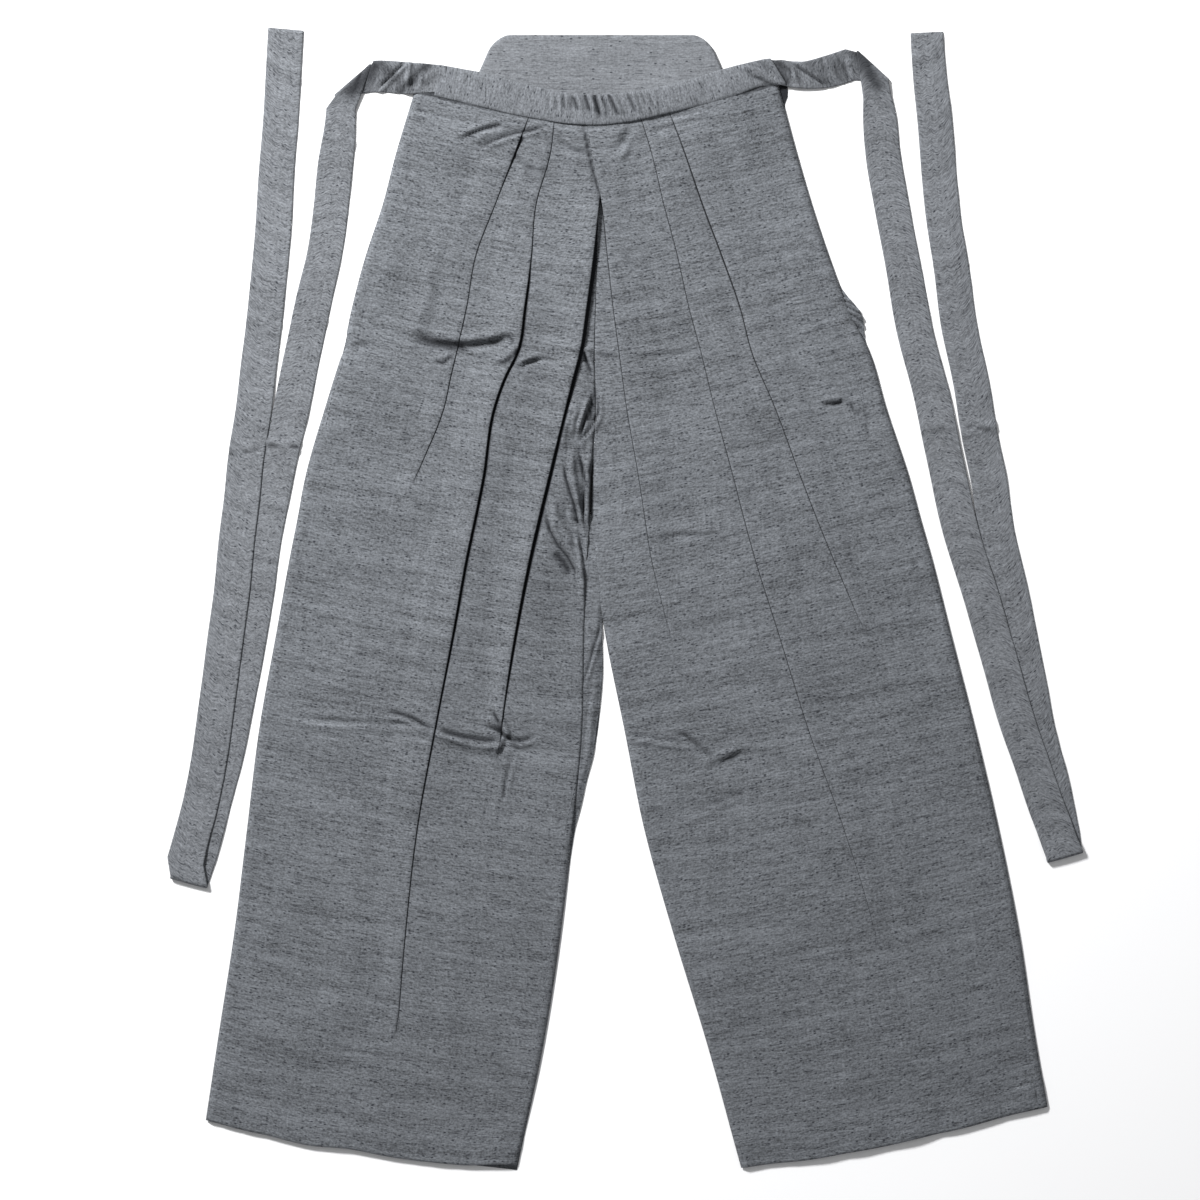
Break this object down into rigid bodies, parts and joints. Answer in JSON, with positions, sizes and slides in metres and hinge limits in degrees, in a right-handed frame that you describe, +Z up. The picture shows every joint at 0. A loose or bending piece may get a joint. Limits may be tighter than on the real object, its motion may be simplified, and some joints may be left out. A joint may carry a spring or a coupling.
{
  "type": "hakama trousers",
  "caption": "Wide pleated divided trousers laid flat front up, with a stiff back board, a waistband and long folded side ties.",
  "frame": {"origin": "middle of the laid-out garment's box, on the surface that it lies on", "axes": "+X across the garment to the viewer's right as it is seen from above, +Y from the hems to the waist, +Z up from the surface"},
  "size_m": [0.8252, 1.0294, 0.0114],
  "materials": {
    "slub_cloth": "dry matt blue-grey slub weave with dark flecks along the weft",
    "band_cloth": "the same slub weave, its streaks running across the band",
    "tie_cloth": "the same slub weave, its streaks running across the strip",
    "board_cloth": "the same slub weave drawn tight over a stiff board"
  },
  "bodies": {
    "root": {"back_board": "board_cloth", "back_panel_left": "slub_cloth", "back_panel_right": "slub_cloth", "back_tie_left": "tie_cloth", "back_tie_right": "tie_cloth", "front_panel_left": "slub_cloth", "front_panel_right": "slub_cloth", "front_waistband": "band_cloth", "front_tie_left": "tie_cloth", "front_tie_right": "tie_cloth", "gusset": "slub_cloth"}
  },
  "joints": []
}
